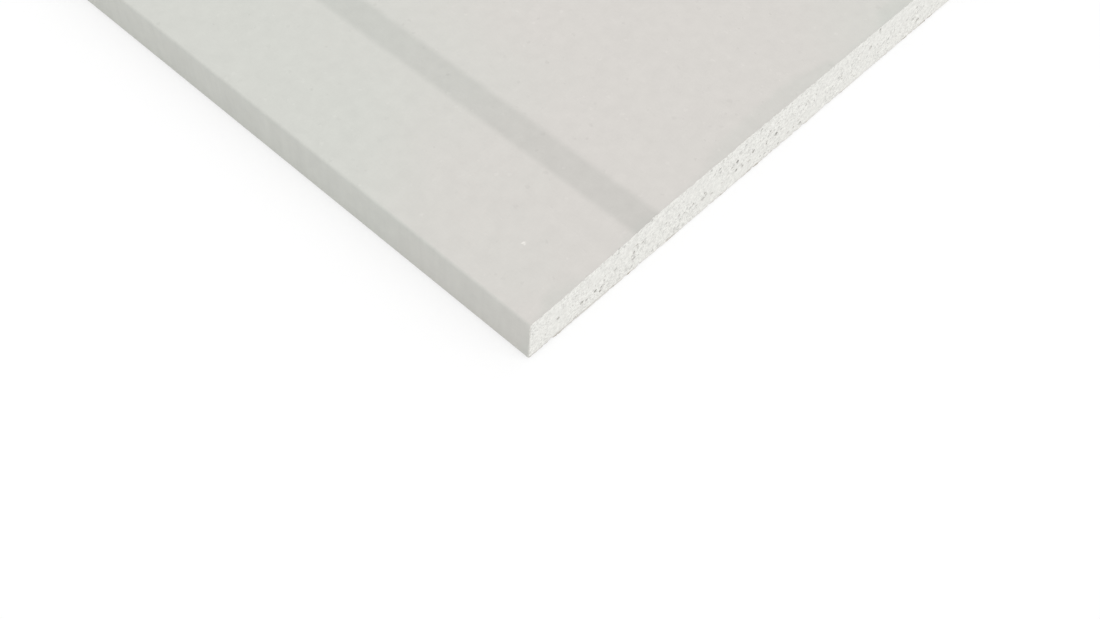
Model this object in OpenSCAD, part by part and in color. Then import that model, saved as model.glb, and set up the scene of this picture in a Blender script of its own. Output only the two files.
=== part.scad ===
// Drywall sheet with tapered, paper-bound long edges and square-cut ends.
// A gypsum core lies between two papers. The face paper turns down over both long
// edges and folds under the back, and the back paper laps over those flaps.
// X runs across the sheet, Y along it, and the sheet lies on its back at Z = 0.

/* [Sheet] */
// Length along the paper-bound edges
sheet_length = 2438.4; // [600:0.1:3660]
// Width between the paper-bound edges
sheet_width = 1219.2; // [300:0.1:1400]
// Thickness in the field, papers included
sheet_thickness = 12.7; // [9.5:0.1:25.4]

/* [Tapered edges] */
// Width of the recess, from the long edge to the level field
recess_width = 35; // [30:0.5:80]
// Width of the ramp that leads down from the field
ramp_width = 6.5; // [3:0.5:20]
// Drop across the ramp
ramp_drop = 0.7; // [0.2:0.05:1.2]
// Further fall of the margin, from the foot of the ramp to the long edge
margin_fall = 1.2; // [0.2:0.05:1.8]
// Radius of the arris between the face and the long edge
face_arris_radius = 0.8; // [0.6:0.1:2.5]
// Radius of the arris between the long edge and the back
back_arris_radius = 0.6; // [0.6:0.1:2.5]

/* [Papers] */
// Thickness of the face paper
face_paper_thickness = 0.3; // [0.2:0.01:0.5]
// Thickness of the back paper
back_paper_thickness = 0.3; // [0.2:0.01:0.5]
// Width of the face paper's flap under the back, from the long edge
flap_width = 24; // [15:0.5:40]
// Distance from the long edge to the side of the back paper
back_paper_setback = 7; // [4:0.5:12]

/* [Hidden] */

// Straight steps in each rounded arris
arris_steps = 8;

half_width = sheet_width / 2;
field_half = half_width - recess_width;
ramp_foot = field_half + ramp_width;
flap_end = half_width - flap_width;
margin_top = sheet_thickness - ramp_drop;
edge_top = margin_top - margin_fall;
flap_bottom = back_paper_thickness;

gypsum_white = [0.92, 0.92, 0.90];
face_paper_grey = [0.85, 0.84, 0.82];
back_paper_brown = [0.69, 0.65, 0.58];

// Points of a quarter turn of the arris, from one angle to the other
function arris(centre, radius, from, to) = [
    for (step = [0 : arris_steps])
        let (angle = from + (to - from) * step / arris_steps)
            centre + radius * [cos(angle), sin(angle)]
];

function mirrored(points) = [for (i = [len(points) - 1 : -1 : 0]) [-points[i].x, points[i].y]];

function reversed(points) = [for (i = [len(points) - 1 : -1 : 0]) points[i]];

// Line of the right-hand long edge, set in from the outside of the face paper:
// field, ramp, margin, face arris, long edge, back arris and flap
function edge_line(inset) = concat(
    [[field_half, sheet_thickness - inset], [ramp_foot, margin_top - inset]],
    arris([half_width - face_arris_radius, edge_top - face_arris_radius],
          face_arris_radius - inset, 90, 0),
    arris([half_width - back_arris_radius, flap_bottom + back_arris_radius],
          back_arris_radius - inset, 0, -90),
    [[flap_end, flap_bottom + inset]]
);

// Line of the whole section, from the end of one flap over the face to the other
function wrap_line(inset) = concat(mirrored(edge_line(inset)), edge_line(inset));

// Runs a section of the sheet along its whole length
module along_sheet() {
    rotate([90, 0, 0])
        linear_extrude(height = sheet_length, center = true)
            children();
}

// Core: fills the face paper's fold and reaches down between the flaps
module gypsum_core() {
    color(gypsum_white)
        along_sheet()
            polygon(concat(wrap_line(face_paper_thickness),
                           [[flap_end, flap_bottom], [-flap_end, flap_bottom]]));
}

// Face paper: one web over the face, round both long edges and under the back
module face_paper() {
    color(face_paper_grey)
        along_sheet()
            polygon(concat(wrap_line(0), reversed(wrap_line(face_paper_thickness))));
}

// Back paper: a flat web under the core that laps over both flaps
module back_paper() {
    back_paper_half = half_width - back_paper_setback;
    color(back_paper_brown)
        along_sheet()
            translate([-back_paper_half, 0])
                square([2 * back_paper_half, back_paper_thickness]);
}

gypsum_core();
face_paper();
back_paper();
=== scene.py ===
import math

import bmesh
import bpy
from mathutils import Matrix, Vector, noise


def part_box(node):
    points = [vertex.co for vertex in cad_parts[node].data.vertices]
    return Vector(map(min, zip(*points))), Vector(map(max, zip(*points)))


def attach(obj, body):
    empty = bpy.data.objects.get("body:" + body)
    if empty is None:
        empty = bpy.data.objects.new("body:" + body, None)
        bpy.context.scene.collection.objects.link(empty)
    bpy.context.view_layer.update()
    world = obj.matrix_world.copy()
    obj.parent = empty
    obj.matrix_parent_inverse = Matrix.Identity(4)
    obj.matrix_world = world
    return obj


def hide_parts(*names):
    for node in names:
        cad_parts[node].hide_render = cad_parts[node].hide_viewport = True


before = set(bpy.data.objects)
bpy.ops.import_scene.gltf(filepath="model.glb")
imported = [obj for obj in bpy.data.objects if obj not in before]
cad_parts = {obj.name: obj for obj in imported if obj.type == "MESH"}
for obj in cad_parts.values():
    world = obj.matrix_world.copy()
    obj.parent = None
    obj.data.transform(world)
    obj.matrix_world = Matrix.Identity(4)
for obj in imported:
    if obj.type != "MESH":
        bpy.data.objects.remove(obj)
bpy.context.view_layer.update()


# Face paper
# One web of pale, multi-ply board paper, rolled smooth. The core is cast on it, its sides are
# turned up over the core's edges along scored creases and folded flat on the back as flaps.
# Both ends are sawn through with the core, which leaves a finely frayed edge.
sheet_low, sheet_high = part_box("face_paper")
core_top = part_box("gypsum_core")[1].z
half_width = sheet_high.x
half_length = sheet_high.y
face_height = sheet_high.z
flap_bottom = sheet_low.z
paper_thickness = face_height - core_top

recess_width = 0.035
ramp_width = 0.0065
ramp_drop = 0.0007
margin_fall = 0.0012
flap_width = 0.024
# The paper is creased a little tighter over the face arris than the CAD solid is
face_arris_radius = 0.0006
back_arris_radius = 0.0006
ramp_bend_radius = 0.020

fray_depth = 0.00042
fray_step = 0.00025
fray_middle = 0.40
fray_power = 1.5
# Waves of the fray, each with its number per metre and its share
fray_waves = ((130, 0.35), (700, 0.50), (2300, 0.40))


def rounded_line(corners, steps=8):
    """The line through corners of (x, z, bend radius), with an arc at each corner between its ends"""
    points = [Vector(corners[0][:2])]
    for before, corner, after in zip(corners, corners[1:], corners[2:]):
        bend = Vector(corner[:2])
        back = (Vector(before[:2]) - bend).normalized()
        ahead = (Vector(after[:2]) - bend).normalized()
        half_angle = back.angle(ahead) / 2
        centre = bend + (back + ahead).normalized() * corner[2] / math.sin(half_angle)
        reach = corner[2] / math.tan(half_angle)
        start = bend + back * reach - centre
        end = bend + ahead * reach - centre
        turn = start.angle_signed(end)
        for step in range(steps + 1):
            points.append(centre + Matrix.Rotation(-turn * step / steps, 2) @ start)
    points.append(Vector(corners[-1][:2]))
    return points


def set_in(points, distance):
    """The same line moved towards its right-hand side by a distance, with mitred bends"""
    moved = []
    for number, point in enumerate(points):
        before = points[max(number - 1, 0)]
        after = points[min(number + 1, len(points) - 1)]
        first = (point - before) if number else (after - point)
        second = (after - point) if number < len(points) - 1 else first
        first_side = Vector((first.y, -first.x)).normalized()
        second_side = Vector((second.y, -second.x)).normalized()
        middle = (first_side + second_side).normalized()
        moved.append(point + middle * distance / middle.dot(first_side))
    return moved


def both_sides(points):
    """A right-hand line led on from its mirror image, so that it runs from left to right"""
    return [Vector((-point.x, point.y)) for point in reversed(points)] + points


edge_top = face_height - ramp_drop - margin_fall
flap_end = half_width - flap_width
wrap_side = rounded_line([
    (0.0, face_height, 0.0),
    (half_width - recess_width, face_height, ramp_bend_radius),
    (half_width - recess_width + ramp_width, face_height - ramp_drop, ramp_bend_radius),
    (half_width, edge_top, face_arris_radius),
    (half_width, flap_bottom, back_arris_radius),
    (flap_end, flap_bottom, 0.0),
])
wrap_line = both_sides(wrap_side[1:])


def spaced(points, step):
    """Pairs of (distance along the line, point) that lie no further apart than a step"""
    pairs = [(0.0, points[0])]
    travelled = 0.0
    for start, end in zip(points, points[1:]):
        length = (end - start).length
        pieces = max(1, math.ceil(length / step))
        for piece in range(1, pieces + 1):
            share = piece / pieces
            pairs.append((travelled + length * share, start.lerp(end, share)))
        travelled += length
    return pairs


def fray(distance, seed):
    """How far the saw has frayed the paper back at a distance along its cut, in metres"""
    torn = fray_middle
    for number, (per_metre, share) in enumerate(fray_waves):
        torn += share * noise.noise(Vector((distance * per_metre, seed + 9 * number, 0)))
    return fray_depth * min(1, max(0, torn)) ** fray_power


def stitch_rows(mesh, row, next_row):
    """Fills the strip between two rows of (distance, vertex), which may have different spacing"""
    same_place = 1e-7
    i = j = 0
    while i < len(row) - 1 or j < len(next_row) - 1:
        along = row[i + 1][0] if i < len(row) - 1 else math.inf
        next_along = next_row[j + 1][0] if j < len(next_row) - 1 else math.inf
        if abs(along - next_along) < same_place:
            mesh.faces.new((row[i][1], row[i + 1][1], next_row[j + 1][1], next_row[j][1]))
            i, j = i + 1, j + 1
        elif along < next_along:
            mesh.faces.new((row[i][1], row[i + 1][1], next_row[j][1]))
            i += 1
        else:
            mesh.faces.new((row[i][1], next_row[j + 1][1], next_row[j][1]))
            j += 1


def apply_modifiers(piece):
    """Turns what the piece's modifiers make into its plain mesh, and shades its soft bends smooth"""
    sharp_angle = math.radians(35)
    bpy.context.view_layer.update()
    evaluated = piece.evaluated_get(bpy.context.evaluated_depsgraph_get())
    made = bpy.data.meshes.new_from_object(evaluated)
    piece.modifiers.clear()
    piece.data = made
    made.shade_smooth()
    made.set_sharp_from_angle(angle=sharp_angle)
    return piece


def paper_web(name, line, thickness, seed):
    """A web of paper folded along a line of (x, z) points, with a fine mesh at its two frayed ends only"""
    # Distance from the end, and spacing, of the rows next to each cut. The second row lies far
    # enough in that no triangle between it and the fray turns over.
    end_rows = ((0.0, fray_step), (0.0020, 0.0008), (0.006, 0.003), (0.016, 0.012), (0.05, 0.05))
    middle_rows = 9
    rows = [(inset - half_length, step, inset == 0.0) for inset, step in end_rows]
    last_inset = end_rows[-1][0]
    for number in range(1, middle_rows):
        rows.append(((half_length - last_inset) * (2 * number / middle_rows - 1), end_rows[-1][1], False))
    rows += [(half_length - inset, step, inset == 0.0) for inset, step in reversed(end_rows)]
    mesh = bmesh.new()
    previous = None
    for along, step, is_cut in rows:
        row = []
        for distance, point in spaced(line, step):
            frayed = math.copysign(fray(distance, seed + (along > 0)), -along) if is_cut else 0.0
            row.append((distance, mesh.verts.new((point.x, along + frayed, point.y))))
        if previous:
            stitch_rows(mesh, previous, row)
        previous = row
    data = bpy.data.meshes.new(name)
    mesh.normal_update()
    mesh.to_mesh(data)
    mesh.free()
    web = bpy.data.objects.new(name, data)
    bpy.context.scene.collection.objects.link(web)
    wall = web.modifiers.new("thickness", "SOLIDIFY")
    wall.thickness = thickness
    wall.offset = -1
    wall.use_even_offset = True
    return apply_modifiers(web)


face_paper = paper_web("face_paper_web", wrap_line, paper_thickness, seed=3)


def add_node(tree, kind, label, settings=None, **inputs):
    """A node with a label, its settings, and its inputs as values or as sockets to link from.
    An input goes by its name, or by its number where names repeat, such as _0."""
    node = tree.nodes.new(kind)
    node.label = label
    for key, value in (settings or {}).items():
        setattr(node, key, value)
    for key, value in inputs.items():
        socket = node.inputs[int(key[1:])] if key[1:].isdigit() else node.inputs[key.replace("_", " ")]
        if isinstance(value, bpy.types.NodeSocket):
            tree.links.new(value, socket)
        else:
            socket.default_value = value
    return node


def new_group(name, kind, inputs, outputs):
    """A node group with named sockets, each (name, socket type, default value)"""
    group = bpy.data.node_groups.new(name, kind)
    for direction, sockets in (("INPUT", inputs), ("OUTPUT", outputs)):
        for label, socket_kind, default in sockets:
            socket = group.interface.new_socket(label, in_out=direction, socket_type=socket_kind)
            if default is not None:
                socket.default_value = default
    return group, group.nodes.new("NodeGroupInput"), group.nodes.new("NodeGroupOutput")


def fibre_group():
    """Paper's look: cloudy formation, matted fibres, a slow drift of tint, flecks and a few crumbs"""
    clouds_per_metre = 330.0
    drifts_per_metre = 8.0
    drift_offset = (23.1, 34.3, 19.5)
    # Fibres lie in two crossed directions, each with its turn in degrees and its strands per metre
    fibre_lays = (("fibres along", 17, (2600, 700, 2600)),
                  ("fibres across", -24, (800, 2300, 2300)))
    flecks_per_metre = 600.0
    crumples_per_metre = 1500.0
    crumple_reach = 0.0007
    bare_share = 0.20
    # A few flecks are light crumbs of plaster: those whose random draw, from 0 to 1, lies close
    # to this one
    crumb_draw = 0.920
    crumb_share = 0.004
    crumb_power = 3.0
    group, given, made = new_group(
        "paper_fibres", "ShaderNodeTree",
        [("Vector", "NodeSocketVector", None), ("Cloud", "NodeSocketFloat", 0.02),
         ("Fibre", "NodeSocketFloat", 0.03), ("Fleck Size", "NodeSocketFloat", 0.1)],
        [("Tone", "NodeSocketFloat", None), ("Height", "NodeSocketFloat", None),
         ("Drift", "NodeSocketFloat", None), ("Fleck", "NodeSocketFloat", None),
         ("Crumb", "NodeSocketFloat", None)])
    vector = given.outputs["Vector"]
    cloud = add_node(group, "ShaderNodeTexNoise", "formation", Vector=vector,
                     Scale=clouds_per_metre, Detail=4.0, Roughness=0.55)
    web_place = add_node(group, "ShaderNodeMapping", "place on the web", Vector=vector,
                         Location=drift_offset)
    drift = add_node(group, "ShaderNodeTexNoise", "drift", Vector=web_place.outputs[0],
                     Scale=drifts_per_metre, Detail=4.0)
    strands = []
    for label, turn, stretch in fibre_lays:
        laid = add_node(group, "ShaderNodeMapping", label, Vector=vector, Scale=stretch,
                        Rotation=(0, 0, math.radians(turn)))
        strand = add_node(group, "ShaderNodeTexNoise", label, Vector=laid.outputs[0],
                          Scale=1.0, Detail=2.0, Roughness=0.6, Distortion=0.8)
        strands.append(strand.outputs["Fac"])
    matted = add_node(group, "ShaderNodeMath", "matted", {"operation": "MAXIMUM"},
                      _0=strands[0], _1=strands[1])
    cloud_part = add_node(group, "ShaderNodeMapRange", "cloud part", {"clamp": False},
                          Value=cloud.outputs["Fac"], From_Min=0.5, From_Max=1.0,
                          To_Max=given.outputs["Cloud"])
    fibre_part = add_node(group, "ShaderNodeMapRange", "fibre part", {"clamp": False},
                          Value=matted.outputs[0], From_Min=0.56, From_Max=1.0,
                          To_Max=given.outputs["Fibre"])
    parts = add_node(group, "ShaderNodeMath", "parts", {"operation": "ADD"},
                     _0=cloud_part.outputs[0], _1=fibre_part.outputs[0])
    tone = add_node(group, "ShaderNodeMath", "tone about one", {"operation": "ADD"},
                    _0=parts.outputs[0], _1=1.0)
    crumple = add_node(group, "ShaderNodeTexNoise", "crumple", Vector=vector,
                       Scale=crumples_per_metre, Detail=1.0)
    crumpled = add_node(group, "ShaderNodeVectorMath", "crumpled", {"operation": "MULTIPLY_ADD"},
                        _0=crumple.outputs["Color"], _1=(crumple_reach,) * 3, _2=vector)
    specks = add_node(group, "ShaderNodeTexVoronoi", "flecks", Vector=crumpled.outputs[0],
                      Scale=flecks_per_metre)
    chance = add_node(group, "ShaderNodeSeparateColor", "chance", _0=specks.outputs["Color"])
    few = add_node(group, "ShaderNodeMapRange", "few flecks", Value=chance.outputs[0],
                   From_Min=bare_share, To_Min=-0.1, To_Max=given.outputs["Fleck Size"])
    within = add_node(group, "ShaderNodeMath", "within a fleck", {"operation": "SUBTRACT"},
                      _0=few.outputs[0], _1=specks.outputs["Distance"])
    spot = add_node(group, "ShaderNodeMapRange", "spot", {"interpolation_type": "SMOOTHSTEP"},
                    Value=within.outputs[0], From_Min=-0.08, From_Max=0.12)
    shade = add_node(group, "ShaderNodeMapRange", "dark or light", Value=chance.outputs[1],
                     To_Min=-0.95, To_Max=0.85)
    fleck = add_node(group, "ShaderNodeMath", "fleck", {"operation": "MULTIPLY"},
                     _0=spot.outputs[0], _1=shade.outputs[0])
    rare = add_node(group, "ShaderNodeMath", "rare crumbs", {"operation": "COMPARE"},
                    _0=chance.outputs[2], _1=crumb_draw, _2=crumb_share / 2)
    small = add_node(group, "ShaderNodeMath", "small crumbs", {"operation": "POWER"},
                     _0=spot.outputs[0], _1=crumb_power)
    crumb = add_node(group, "ShaderNodeMath", "crumb", {"operation": "MULTIPLY"},
                     _0=small.outputs[0], _1=rare.outputs[0])
    group.links.new(tone.outputs[0], made.inputs["Tone"])
    group.links.new(matted.outputs[0], made.inputs["Height"])
    group.links.new(drift.outputs["Fac"], made.inputs["Drift"])
    group.links.new(fleck.outputs[0], made.inputs["Fleck"])
    group.links.new(crumb.outputs[0], made.inputs["Crumb"])
    return group


paper_fibres = fibre_group()


def saw_edge_group():
    """Paper at both ends: a strip painted darker towards each cut, and plaster dust from the saw along the
    very edge
    """
    darkened_width = 0.003
    darkened_wander = 0.020
    windings_per_metre = 40.0
    winding_offset = (10.0, 11.0, 29.7)
    dusty_width = 0.0005
    powder_per_metre = 110.0
    group, given, made = new_group(
        "saw_edge", "ShaderNodeTree", [("Vector", "NodeSocketVector", None)],
        [("Darkened", "NodeSocketFloat", None), ("Dust", "NodeSocketFloat", None)])
    vector = given.outputs["Vector"]
    apart = add_node(group, "ShaderNodeSeparateXYZ", "place", _0=vector)
    along = add_node(group, "ShaderNodeMath", "along the sheet", {"operation": "ABSOLUTE"},
                     _0=apart.outputs["Y"])
    winding_place = add_node(group, "ShaderNodeMapping", "place of smudges", Vector=vector,
                            Location=winding_offset)
    winding = add_node(group, "ShaderNodeTexNoise", "windings", Vector=winding_place.outputs[0],
                      Scale=windings_per_metre, Detail=4.0)
    wander = add_node(group, "ShaderNodeMapRange", "wander", Value=winding.outputs["Fac"],
                      To_Min=half_length + darkened_wander / 2, To_Max=half_length - darkened_wander / 2)
    inward = add_node(group, "ShaderNodeMath", "distance from the cut", {"operation": "SUBTRACT"},
                      _0=wander.outputs[0], _1=along.outputs[0])
    # The paper is painted darker in a strip towards each cut, whose width wanders along the cut
    darkened = add_node(group, "ShaderNodeMapRange", "darkened", {"interpolation_type": "SMOOTHSTEP"},
                      Value=inward.outputs[0], From_Max=darkened_width, To_Min=1.0, To_Max=0.0)
    edge = add_node(group, "ShaderNodeMapRange", "very edge", Value=along.outputs[0],
                    From_Min=half_length - dusty_width, From_Max=half_length)
    powder = add_node(group, "ShaderNodeTexNoise", "powder", Vector=vector,
                      Scale=powder_per_metre, Detail=5.0, Roughness=0.7)
    patches = add_node(group, "ShaderNodeMapRange", "powder patches", Value=powder.outputs["Fac"],
                       From_Min=0.38, From_Max=0.52)
    dust = add_node(group, "ShaderNodeMath", "dust", {"operation": "MULTIPLY"},
                    _0=edge.outputs[0], _1=patches.outputs[0])
    group.links.new(darkened.outputs[0], made.inputs["Darkened"])
    group.links.new(dust.outputs[0], made.inputs["Dust"])
    return group


saw_edge = saw_edge_group()


def new_material(name):
    """A material with its tree, its surface shader and the object's own coordinates"""
    material = bpy.data.materials.new(name)
    material.use_nodes = True
    tree = material.node_tree
    shader = tree.nodes["Principled BSDF"]
    place = add_node(tree, "ShaderNodeTexCoord", "place").outputs["Object"]
    return material, tree, shader, place


def face_paper_material():
    """Pale ivory-grey paper. Painted shade makes the tilted ramp band a shade darker than the face."""
    warm_colour = (0.693, 0.669, 0.636, 1)
    cool_colour = (0.669, 0.676, 0.634, 1)
    # How much darker the ramp band is painted, as painted shade of its tilt
    ramp_painted_shade = 0.895
    ramp_blur = 0.0010
    darkened_tone = 0.962
    fleck_depth = 0.06
    crumb_lightness = 0.22
    dent_depth = 2.0
    streak_depth = 0.05
    streaks_per_metre = (60, 700, 60)
    edge_coolness = 0.45
    ramp_coolness = 0.20
    darkened_coolness = 0.35
    material, tree, shader, place = new_material("face_paper_finish")
    fibres = add_node(tree, "ShaderNodeGroup", "fibres", {"node_tree": paper_fibres}, Vector=place,
                      Cloud=0.05, Fibre=0.035, Fleck_Size=0.32)
    sawn = add_node(tree, "ShaderNodeGroup", "saw edge", {"node_tree": saw_edge}, Vector=place)
    apart = add_node(tree, "ShaderNodeSeparateXYZ", "place", _0=place)
    across = add_node(tree, "ShaderNodeMath", "distance from middle", {"operation": "ABSOLUTE"},
                      _0=apart.outputs["X"])
    ramp_top = half_width - recess_width
    ramp_foot = ramp_top + ramp_width
    rise = add_node(tree, "ShaderNodeMapRange", "ramp top", {"interpolation_type": "SMOOTHSTEP"},
                    Value=across.outputs[0], From_Min=ramp_top - ramp_blur, From_Max=ramp_top + ramp_blur)
    fall = add_node(tree, "ShaderNodeMapRange", "ramp foot", {"interpolation_type": "SMOOTHSTEP"},
                    Value=across.outputs[0], From_Min=ramp_foot - ramp_blur, From_Max=ramp_foot + ramp_blur)
    band = add_node(tree, "ShaderNodeMath", "ramp band", {"operation": "SUBTRACT"},
                    _0=rise.outputs[0], _1=fall.outputs[0])
    # Painted shade: the ramp band on both long edges is painted a shade darker
    band_shade = add_node(tree, "ShaderNodeMath", "ramp shade", {"operation": "MULTIPLY_ADD"},
                          _0=band.outputs[0], _1=ramp_painted_shade - 1, _2=fibres.outputs["Tone"])
    # The strip along each cut is painted darker, and a little cooler in tint
    saw_shade = add_node(tree, "ShaderNodeMath", "saw shade", {"operation": "MULTIPLY_ADD"},
                         _0=sawn.outputs["Darkened"], _1=darkened_tone - 1, _2=band_shade.outputs[0])
    fleck_shade = add_node(tree, "ShaderNodeMath", "fleck shade", {"operation": "MULTIPLY_ADD"},
                           _0=fibres.outputs["Fleck"], _1=fleck_depth, _2=saw_shade.outputs[0])
    crumb_shade = add_node(tree, "ShaderNodeMath", "crumb shade", {"operation": "MULTIPLY_ADD"},
                           _0=fibres.outputs["Crumb"], _1=crumb_lightness, _2=fleck_shade.outputs[0])
    pulled = add_node(tree, "ShaderNodeMapping", "pulled round the edge", Vector=place,
                      Scale=streaks_per_metre)
    streaks = add_node(tree, "ShaderNodeTexNoise", "streaks", Vector=pulled.outputs[0],
                       Scale=1.0, Detail=3.0)
    streak_part = add_node(tree, "ShaderNodeMapRange", "streak part", {"clamp": False},
                           Value=streaks.outputs["Fac"], From_Min=0.5, To_Max=streak_depth)
    on_edge = add_node(tree, "ShaderNodeMapRange", "on the long edge", Value=across.outputs[0],
                       From_Min=half_width - face_arris_radius, From_Max=half_width - face_arris_radius / 4)
    shade = add_node(tree, "ShaderNodeMath", "shade", {"operation": "MULTIPLY_ADD"},
                     _0=streak_part.outputs[0], _1=on_edge.outputs[0], _2=crumb_shade.outputs[0])
    drift = add_node(tree, "ShaderNodeMapRange", "drift", Value=fibres.outputs["Drift"],
                     From_Min=0.41, From_Max=0.62)
    cool_edge = add_node(tree, "ShaderNodeMath", "cool edge", {"operation": "MULTIPLY_ADD"},
                         _0=on_edge.outputs[0], _1=edge_coolness, _2=drift.outputs[0])
    cool_ramp = add_node(tree, "ShaderNodeMath", "cool ramp", {"operation": "MULTIPLY_ADD"},
                         _0=band.outputs[0], _1=ramp_coolness, _2=cool_edge.outputs[0])
    coolness = add_node(tree, "ShaderNodeMath", "cool soiled strip", {"operation": "MULTIPLY_ADD"},
                        _0=sawn.outputs["Darkened"], _1=darkened_coolness, _2=cool_ramp.outputs[0])
    tint = add_node(tree, "ShaderNodeMix", "tint", {"data_type": "RGBA"},
                    _0=coolness.outputs[0], _6=warm_colour, _7=cool_colour)
    colour = add_node(tree, "ShaderNodeVectorMath", "colour", {"operation": "SCALE"},
                      _0=tint.outputs[2], Scale=shade.outputs[0])
    dents = add_node(tree, "ShaderNodeMath", "fibres and dents", {"operation": "MULTIPLY_ADD"},
                     _0=fibres.outputs["Fleck"], _1=dent_depth, _2=fibres.outputs["Height"])
    bump = add_node(tree, "ShaderNodeBump", "fibre relief", Strength=0.35, Distance=0.00006,
                    Height=dents.outputs[0])
    tree.links.new(colour.outputs[0], shader.inputs["Base Color"])
    tree.links.new(bump.outputs[0], shader.inputs["Normal"])
    shader.inputs["Roughness"].default_value = 0.86
    shader.inputs["Specular IOR Level"].default_value = 0.25
    return material


face_paper.data.materials.append(face_paper_material())
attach(face_paper, "root")
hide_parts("face_paper")


# Gypsum core
# Foamed plaster, cast wet between the papers and set hard, so it fills the fold of the face paper.
# The saw opens its air bubbles at both cut ends, where they show as round pits in white plaster.
saw_inset = 0.00012
# Bubbles per square metre of the sawn ends before thinning, and clusters of them per metre
pit_density = 330000.0
pit_clusters_per_metre = 110.0
smallest_pit = 0.00020
largest_pit = 0.00060
# Heights between which the pits thin out towards the face, and grow in number above the back
thinning_start = 0.005
thinning_end = 0.0095
foot_start = 0.0008
foot_end = 0.0045
# Width of the strip along each long edge that has fewer pits
sparse_edge = 0.012


def core_solid():
    """The plain core: its section between the papers, run from one sawn end to the other"""
    inner = set_in(wrap_line, paper_thickness)
    section = inner + [Vector((flap_end, flap_bottom)), Vector((-flap_end, flap_bottom))]
    mesh = bmesh.new()
    ends = []
    for along in (-half_length + saw_inset, half_length - saw_inset):
        ends.append([mesh.verts.new((point.x, along, point.y)) for point in section])
    mesh.faces.new(ends[0])
    mesh.faces.new(list(reversed(ends[1])))
    for number in range(len(section)):
        after = (number + 1) % len(section)
        mesh.faces.new((ends[0][after], ends[0][number], ends[1][number], ends[1][after]))
    bmesh.ops.recalc_face_normals(mesh, faces=mesh.faces)
    data = bpy.data.meshes.new("gypsum_core_cast")
    mesh.to_mesh(data)
    mesh.free()
    core = bpy.data.objects.new("gypsum_core_cast", data)
    bpy.context.scene.collection.objects.link(core)
    return core


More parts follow.
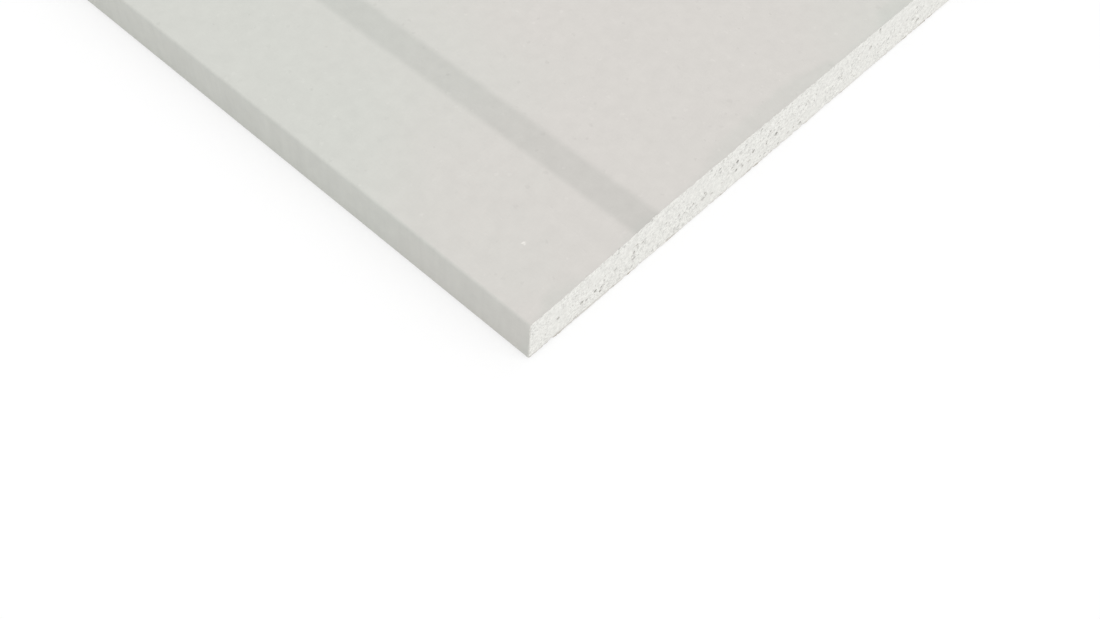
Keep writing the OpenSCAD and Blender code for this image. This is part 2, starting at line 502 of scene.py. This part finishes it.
def pit_tree():
    """Scatters bubbles over the two sawn ends, in clusters and fewer near the papers, and cuts them out"""
    end_facing = 0.9
    size_power = 2.0
    # Shares of a bubble's radius: how far its centre lies outside the sawn end, and how it is squashed
    outside_least, outside_most = -0.3, 0.6
    squash_least, squash_most = 0.75, 1.35
    tree, given, made = new_group(
        "sawn_end_pits", "GeometryNodeTree",
        [("Geometry", "NodeSocketGeometry", None), ("Density", "NodeSocketFloat", 1.0),
         ("Smallest", "NodeSocketFloat", 0.0001), ("Largest", "NodeSocketFloat", 0.0005),
         ("Half Width", "NodeSocketFloat", 0.6), ("Sparse Edge", "NodeSocketFloat", 0.012),
         ("Thinning Start", "NodeSocketFloat", 0.005), ("Thinning End", "NodeSocketFloat", 0.01),
         ("Foot Start", "NodeSocketFloat", 0.001), ("Foot End", "NodeSocketFloat", 0.005),
         ("Clusters", "NodeSocketFloat", 100.0), ("Seed", "NodeSocketInt", 1),
         ("Material", "NodeSocketMaterial", None)],
        [("Geometry", "NodeSocketGeometry", None)])
    tree.is_modifier = True
    normal = add_node(tree, "ShaderNodeSeparateXYZ", "facing", _0=add_node(
        tree, "GeometryNodeInputNormal", "normal").outputs[0])
    facing = add_node(tree, "ShaderNodeMath", "along the sheet", {"operation": "ABSOLUTE"},
                      _0=normal.outputs["Y"])
    sawn = add_node(tree, "FunctionNodeCompare", "sawn end", {"operation": "GREATER_THAN"},
                    _0=facing.outputs[0], _1=end_facing)
    scattered = add_node(tree, "GeometryNodeDistributePointsOnFaces", "bubbles",
                         Mesh=given.outputs["Geometry"], Selection=sawn.outputs[0],
                         Density=given.outputs["Density"], Seed=given.outputs["Seed"])
    place = add_node(tree, "GeometryNodeInputPosition", "place")
    apart = add_node(tree, "ShaderNodeSeparateXYZ", "place", _0=place.outputs[0])
    cluster = add_node(tree, "ShaderNodeTexNoise", "clusters", Vector=place.outputs[0],
                       Scale=given.outputs["Clusters"], Detail=1.0)
    crowd = add_node(tree, "ShaderNodeMapRange", "crowding", Value=cluster.outputs["Fac"],
                     From_Min=0.40, From_Max=0.62, To_Min=0.10, To_Max=1.0)
    across = add_node(tree, "ShaderNodeMath", "from the middle", {"operation": "ABSOLUTE"},
                      _0=apart.outputs["X"])
    from_edge = add_node(tree, "ShaderNodeMath", "from the long edge", {"operation": "SUBTRACT"},
                         _0=given.outputs["Half Width"], _1=across.outputs[0])
    edge_share = add_node(tree, "ShaderNodeMapRange", "sparse edge", Value=from_edge.outputs[0],
                          From_Max=given.outputs["Sparse Edge"], To_Min=0.25, To_Max=1.0)
    top_share = add_node(tree, "ShaderNodeMapRange", "thin top", Value=apart.outputs["Z"],
                         From_Min=given.outputs["Thinning Start"], From_Max=given.outputs["Thinning End"],
                         To_Min=1.0, To_Max=0.06)
    foot_share = add_node(tree, "ShaderNodeMapRange", "sparse foot", Value=apart.outputs["Z"],
                          From_Min=given.outputs["Foot Start"], From_Max=given.outputs["Foot End"],
                          To_Min=0.25, To_Max=1.0)
    share = crowd
    for part in (edge_share, top_share, foot_share):
        share = add_node(tree, "ShaderNodeMath", "crowding by " + part.label, {"operation": "MULTIPLY"},
                         _0=share.outputs[0], _1=part.outputs[0])
    luck = add_node(tree, "FunctionNodeRandomValue", "luck", Seed=10)
    missing = add_node(tree, "FunctionNodeCompare", "left out", {"operation": "GREATER_THAN"},
                       _0=luck.outputs[1], _1=share.outputs[0])
    points = add_node(tree, "GeometryNodeDeleteGeometry", "kept bubbles", {"domain": "POINT"},
                      Geometry=scattered.outputs["Points"], Selection=missing.outputs[0])
    chance = add_node(tree, "FunctionNodeRandomValue", "size chance", Seed=11)
    few_large = add_node(tree, "ShaderNodeMath", "few large", {"operation": "POWER"},
                         _0=chance.outputs[1], _1=size_power)
    radius = add_node(tree, "ShaderNodeMapRange", "radius", Value=few_large.outputs[0],
                      To_Min=given.outputs["Smallest"], To_Max=given.outputs["Largest"])
    outside = add_node(tree, "FunctionNodeRandomValue", "outside chance",
                       _2=outside_least, _3=outside_most, Seed=12)
    shift = add_node(tree, "ShaderNodeMath", "shift", {"operation": "MULTIPLY"},
                     _0=outside.outputs[1], _1=radius.outputs[0])
    outwards = add_node(tree, "ShaderNodeMath", "outwards", {"operation": "SIGN"}, _0=apart.outputs["Y"])
    shift_along = add_node(tree, "ShaderNodeMath", "shift along", {"operation": "MULTIPLY"},
                           _0=shift.outputs[0], _1=outwards.outputs[0])
    offset = add_node(tree, "ShaderNodeCombineXYZ", "offset", Y=shift_along.outputs[0])
    placed = add_node(tree, "GeometryNodeSetPosition", "shifted bubbles", Geometry=points.outputs[0],
                      Offset=offset.outputs[0])
    shape = add_node(tree, "FunctionNodeRandomValue", "squash", {"data_type": "FLOAT_VECTOR"},
                     _0=(squash_least,) * 3, _1=(squash_most,) * 3, Seed=13)
    size = add_node(tree, "ShaderNodeVectorMath", "size", {"operation": "SCALE"},
                    _0=shape.outputs[0], Scale=radius.outputs[0])
    spin = add_node(tree, "FunctionNodeRandomValue", "turn", {"data_type": "FLOAT_VECTOR"},
                    _0=(0, 0, 0), _1=(math.tau,) * 3, Seed=14)
    turn = add_node(tree, "FunctionNodeEulerToRotation", "turn", _0=spin.outputs[0])
    bubble = add_node(tree, "GeometryNodeMeshUVSphere", "bubble", Radius=1.0, Segments=8, Rings=6)
    bubbles = add_node(tree, "GeometryNodeInstanceOnPoints", "bubbles", Points=placed.outputs[0],
                       Instance=bubble.outputs[0], Rotation=turn.outputs[0], Scale=size.outputs[0])
    cut = add_node(tree, "GeometryNodeMeshBoolean", "opened bubbles",
                   {"operation": "DIFFERENCE", "solver": "MANIFOLD"},
                   Mesh_1=given.outputs["Geometry"], Mesh_2=bubbles.outputs[0])
    whole = add_node(tree, "GeometryNodeRealizeInstances", "one mesh", Geometry=cut.outputs[0])
    finished = add_node(tree, "GeometryNodeSetMaterial", "finish", Geometry=whole.outputs[0],
                        Material=given.outputs["Material"])
    tree.links.new(finished.outputs[0], made.inputs[0])
    return tree


def gypsum_material():
    """White plaster, matt and sandy where it is sawn, with fine pores painted dark and painted shade deep
    in its pits
    """
    plaster_colour = (0.945, 0.94, 0.90, 1)
    grey_colour = (0.62, 0.615, 0.587, 1)
    pit_shade_colour = (0.36, 0.355, 0.335, 1)
    # Depths below the sawn end at which a pit's painted shade is darkest, and at which it starts
    darkest_shade_depth = 0.00055
    shade_start_depth = darkest_shade_depth / 12
    patch_share = 0.35
    rim_roughness = 0.16
    grains_per_metre = 2800.0
    patches_per_metre = 900.0
    clumps_per_metre = 170.0
    rims_per_metre = 2200.0
    pores_per_metre = 620.0
    # Share of the cells that hold a pore, and share that hold one of full reach
    pore_share = 0.80
    full_pore_share = pore_share / 3
    pore_reach = 0.30
    material, tree, shader, place = new_material("gypsum_finish")
    grain = add_node(tree, "ShaderNodeTexNoise", "sandy grain", Vector=place,
                     Scale=grains_per_metre, Detail=3.0, Roughness=0.65)
    patch = add_node(tree, "ShaderNodeTexNoise", "patches", Vector=place,
                     Scale=patches_per_metre, Detail=2.0)
    clumps = add_node(tree, "ShaderNodeTexNoise", "clumps", Vector=place,
                      Scale=clumps_per_metre, Detail=1.0)
    lively = add_node(tree, "ShaderNodeMapRange", "lively grain", Value=clumps.outputs["Fac"],
                      From_Min=0.35, From_Max=0.60, To_Min=0.45, To_Max=1.35)
    about_zero = add_node(tree, "ShaderNodeMath", "about zero", {"operation": "SUBTRACT"},
                          _0=grain.outputs["Fac"], _1=0.5)
    grain_part = add_node(tree, "ShaderNodeMath", "grain part", {"operation": "MULTIPLY"},
                          _0=about_zero.outputs[0], _1=lively.outputs[0])
    mixed = add_node(tree, "ShaderNodeMath", "grain and patches", {"operation": "MULTIPLY_ADD"},
                     _0=patch.outputs["Fac"], _1=patch_share, _2=grain_part.outputs[0])
    spread = add_node(tree, "ShaderNodeMapRange", "spread", Value=mixed.outputs[0],
                      From_Min=-0.12, From_Max=0.33)
    sawn = add_node(tree, "ShaderNodeMix", "sawn plaster", {"data_type": "RGBA"},
                    _0=spread.outputs[0], _6=grey_colour, _7=plaster_colour)
    end_on = add_node(tree, "ShaderNodeMapping", "seen end on", Vector=place, Rotation=(math.pi / 2, 0, 0))
    ragged = add_node(tree, "ShaderNodeTexNoise", "ragged rims", Vector=place,
                      Scale=rims_per_metre, Detail=1.0)
    cells = add_node(tree, "ShaderNodeTexVoronoi", "pores", {"voronoi_dimensions": "2D"},
                     Vector=end_on.outputs[0], Scale=pores_per_metre)
    chance = add_node(tree, "ShaderNodeSeparateColor", "chance", _0=cells.outputs["Color"])
    reach = add_node(tree, "ShaderNodeMapRange", "pore size", Value=chance.outputs[0],
                     From_Min=1 - pore_share, From_Max=1 - full_pore_share,
                     To_Min=-0.1, To_Max=pore_reach)
    clumped = add_node(tree, "ShaderNodeMapRange", "clumped", Value=clumps.outputs["Fac"],
                       From_Min=0.35, From_Max=0.60, To_Min=-0.20, To_Max=0.0)
    rim = add_node(tree, "ShaderNodeMath", "ragged rim", {"operation": "MULTIPLY_ADD"},
                   _0=ragged.outputs["Fac"], _1=-rim_roughness, _2=clumped.outputs[0])
    room = add_node(tree, "ShaderNodeMath", "room", {"operation": "ADD"},
                    _0=reach.outputs[0], _1=rim.outputs[0])
    within = add_node(tree, "ShaderNodeMath", "within a pore", {"operation": "SUBTRACT"},
                      _0=room.outputs[0], _1=cells.outputs["Distance"])
    pore = add_node(tree, "ShaderNodeMapRange", "pore", {"interpolation_type": "SMOOTHSTEP"},
                    Value=within.outputs[0], From_Min=-0.08, From_Max=0.06)
    # Each fine pore is painted darker by a random depth, as painted shade in a hole
    faint = add_node(tree, "ShaderNodeMapRange", "how deep", Value=chance.outputs[1],
                     To_Min=0.15, To_Max=0.55)
    apart = add_node(tree, "ShaderNodeSeparateXYZ", "place", _0=place)
    along = add_node(tree, "ShaderNodeMath", "along the sheet", {"operation": "ABSOLUTE"},
                     _0=apart.outputs["Y"])
    sawn_end = half_length - saw_inset
    pit_depth = add_node(tree, "ShaderNodeMapRange", "depth of a pit", Value=along.outputs[0],
                         From_Min=sawn_end - darkest_shade_depth, From_Max=sawn_end - shade_start_depth,
                         To_Min=1.0, To_Max=0.0)
    pore_depth = add_node(tree, "ShaderNodeMath", "depth of a pore", {"operation": "MULTIPLY"},
                          _0=pore.outputs[0], _1=faint.outputs[0])
    deepest = add_node(tree, "ShaderNodeMath", "deepest", {"operation": "MAXIMUM"},
                       _0=pit_depth.outputs[0], _1=pore_depth.outputs[0])
    # Painted shade: pits and pores are mixed towards a dark colour by their depth
    colour = add_node(tree, "ShaderNodeMix", "dim pits", {"data_type": "RGBA"},
                      _0=deepest.outputs[0], _6=sawn.outputs[2], _7=pit_shade_colour)
    relief = add_node(tree, "ShaderNodeMath", "relief", {"operation": "SUBTRACT"},
                      _0=mixed.outputs[0], _1=pore.outputs[0])
    bump = add_node(tree, "ShaderNodeBump", "sawn grain", Strength=0.5, Distance=0.00008,
                    Height=relief.outputs[0])
    tree.links.new(colour.outputs[2], shader.inputs["Base Color"])
    tree.links.new(bump.outputs[0], shader.inputs["Normal"])
    shader.inputs["Roughness"].default_value = 0.95
    shader.inputs["Specular IOR Level"].default_value = 0.15
    return material


def set_inputs(modifier, **values):
    """Sets a tree's named inputs on a modifier by their identifiers"""
    for item in modifier.node_group.interface.items_tree:
        key = item.name.replace(" ", "_")
        if item.in_out == "INPUT" and key in values:
            modifier[item.identifier] = values[key]


gypsum_core = core_solid()
pits = gypsum_core.modifiers.new("pits", "NODES")
pits.node_group = pit_tree()
set_inputs(pits, Density=pit_density, Smallest=smallest_pit, Largest=largest_pit,
           Half_Width=half_width, Sparse_Edge=sparse_edge, Thinning_Start=thinning_start,
           Thinning_End=thinning_end, Foot_Start=foot_start, Foot_End=foot_end,
           Clusters=pit_clusters_per_metre, Seed=5, Material=gypsum_material())
apply_modifiers(gypsum_core)
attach(gypsum_core, "root")
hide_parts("gypsum_core")


# Back paper
# A flat web of coarser, unbleached grey-brown paper, laid on the wet core and glued over both
# flaps of the face paper. Its sides are slit straight, and its ends are sawn with the sheet.
back_low, back_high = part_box("back_paper")
back_line = [Vector((back_high.x, 0.0)), Vector((back_low.x, 0.0))]
back_paper = paper_web("back_paper_web", back_line, back_high.z - back_low.z, seed=7)


def back_paper_material():
    """Unbleached paper with coarse fibres and darker flecks, dusted with plaster where it is sawn"""
    paper_colour = (0.46, 0.42, 0.355, 1)
    fleck_depth = 0.45
    dust_colour = (0.85, 0.845, 0.81, 1)
    material, tree, shader, place = new_material("back_paper_finish")
    fibres = add_node(tree, "ShaderNodeGroup", "fibres", {"node_tree": paper_fibres}, Vector=place,
                      Cloud=0.30, Fibre=0.25, Fleck_Size=0.20)
    sawn = add_node(tree, "ShaderNodeGroup", "saw edge", {"node_tree": saw_edge}, Vector=place)
    shade = add_node(tree, "ShaderNodeMath", "fleck shade", {"operation": "MULTIPLY_ADD"},
                     _0=fibres.outputs["Fleck"], _1=fleck_depth, _2=fibres.outputs["Tone"])
    toned = add_node(tree, "ShaderNodeVectorMath", "toned", {"operation": "SCALE"},
                     _0=paper_colour[:3], Scale=shade.outputs[0])
    colour = add_node(tree, "ShaderNodeMix", "plaster dust", {"data_type": "RGBA"},
                      _0=sawn.outputs["Dust"], _6=toned.outputs[0], _7=dust_colour)
    bump = add_node(tree, "ShaderNodeBump", "fibre relief", Strength=0.5, Distance=0.00005,
                    Height=fibres.outputs["Height"])
    tree.links.new(colour.outputs[2], shader.inputs["Base Color"])
    tree.links.new(bump.outputs[0], shader.inputs["Normal"])
    shader.inputs["Roughness"].default_value = 0.9
    shader.inputs["Specular IOR Level"].default_value = 0.2
    return material


back_paper.data.materials.append(back_paper_material())
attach(back_paper, "root")
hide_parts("back_paper")


# Studio
# A white floor that runs to the horizon, an even white sky and one broad, soft lamp high on the right.
# What the camera sees of the floor is lifted to white, under a lighter shadow than the light alone gives.
bpy.context.scene.view_settings.view_transform = "Standard"
floor_size = 60.0
floor_gap = 0.0002
floor_white = 0.80
floor_seen = 0.28
floor_lift = 0.735
sky_strength = 0.87
lamp_strength = 0.20 * math.pi
lamp_angle = math.radians(40)
lamp_towards = Vector((0.25, -0.72, 0.65))


def seen_by_camera(tree):
    """A socket that is 1 where the camera sees a surface, also mirrored or through glass, and else 0"""
    path = add_node(tree, "ShaderNodeLightPath", "seen")
    direct = add_node(tree, "ShaderNodeMath", "seen or mirrored", {"operation": "MAXIMUM"},
                      _0=path.outputs["Is Camera Ray"], _1=path.outputs["Is Glossy Ray"])
    seen = add_node(tree, "ShaderNodeMath", "or seen through", {"operation": "MAXIMUM"},
                    _0=direct.outputs[0], _1=path.outputs["Is Transmission Ray"])
    return seen.outputs[0]


def studio_floor():
    """The floor, a little under the sheet, which the camera sees as white outside the shadow"""
    data = bpy.data.meshes.new("studio_floor")
    reach = floor_size / 2
    corners = [(-reach, -reach), (reach, -reach), (reach, reach), (-reach, reach)]
    data.from_pydata([(x, y, -floor_gap) for x, y in corners], [], [(0, 1, 2, 3)])
    floor = bpy.data.objects.new("studio_floor", data)
    bpy.context.scene.collection.objects.link(floor)
    material = bpy.data.materials.new("studio_white")
    material.use_nodes = True
    tree = material.node_tree
    tree.nodes.clear()
    seen = seen_by_camera(tree)
    white = add_node(tree, "ShaderNodeMapRange", "white", Value=seen, To_Min=floor_white, To_Max=floor_seen)
    matt = add_node(tree, "ShaderNodeBsdfDiffuse", "matt white", Color=white.outputs[0])
    lift = add_node(tree, "ShaderNodeMath", "lift", {"operation": "MULTIPLY"}, _0=seen, _1=floor_lift)
    glow = add_node(tree, "ShaderNodeEmission", "lift to white", Strength=lift.outputs[0])
    both = add_node(tree, "ShaderNodeAddShader", "floor", _0=matt.outputs[0], _1=glow.outputs[0])
    output = add_node(tree, "ShaderNodeOutputMaterial", "output")
    tree.links.new(both.outputs[0], output.inputs["Surface"])
    data.materials.append(material)


def studio_sky():
    """An even sky that lights softly and that the camera sees as plain white"""
    world = bpy.data.worlds.new("studio_sky")
    bpy.context.scene.world = world
    world.use_nodes = True
    tree = world.node_tree
    background = tree.nodes["Background"]
    background.inputs["Color"].default_value = (1, 1, 1, 1)
    strength = add_node(tree, "ShaderNodeMapRange", "strength", Value=seen_by_camera(tree),
                        To_Min=sky_strength, To_Max=1.0)
    tree.links.new(strength.outputs[0], background.inputs["Strength"])


def studio_lamp():
    """One broad lamp, far off, that gives the sheet its soft shadow"""
    data = bpy.data.lights.new("studio_lamp", "SUN")
    data.energy = lamp_strength
    data.angle = lamp_angle
    lamp = bpy.data.objects.new("studio_lamp", data)
    lamp.rotation_euler = lamp_towards.to_track_quat("Z", "Y").to_euler()
    bpy.context.scene.collection.objects.link(lamp)


studio_floor()
studio_sky()
studio_lamp()


# Camera
# It looks down on the near corner, between the paper-bound edge on the left and the sawn end on the right.
image_width, image_height = 1100, 619
corner_pixel = (528.1, 360.1)
corner_depth = 0.2519
camera_elevation = math.radians(54.03)
camera_heading = math.radians(-50.74)
camera_roll = math.radians(4.72)
sensor_width = 36.0
focal_pixels = 1370.0

camera_data = bpy.data.cameras.new("camera")
camera_data.sensor_fit = "HORIZONTAL"
camera_data.sensor_width = sensor_width
camera_data.lens = sensor_width * focal_pixels / image_width
camera = bpy.data.objects.new("camera", camera_data)
bpy.context.scene.collection.objects.link(camera)
turn = (Matrix.Rotation(camera_heading, 4, "Z") @ Matrix.Rotation(math.pi / 2 - camera_elevation, 4, "X")
        @ Matrix.Rotation(camera_roll, 4, "Z"))
near_corner = Vector((-half_width, -half_length, 0.0))
corner_seen = Vector(((corner_pixel[0] - image_width / 2) / focal_pixels,
                      (image_height / 2 - corner_pixel[1]) / focal_pixels, -1.0)) * corner_depth
camera.matrix_world = Matrix.Translation(near_corner - turn @ corner_seen) @ turn
bpy.context.scene.camera = camera
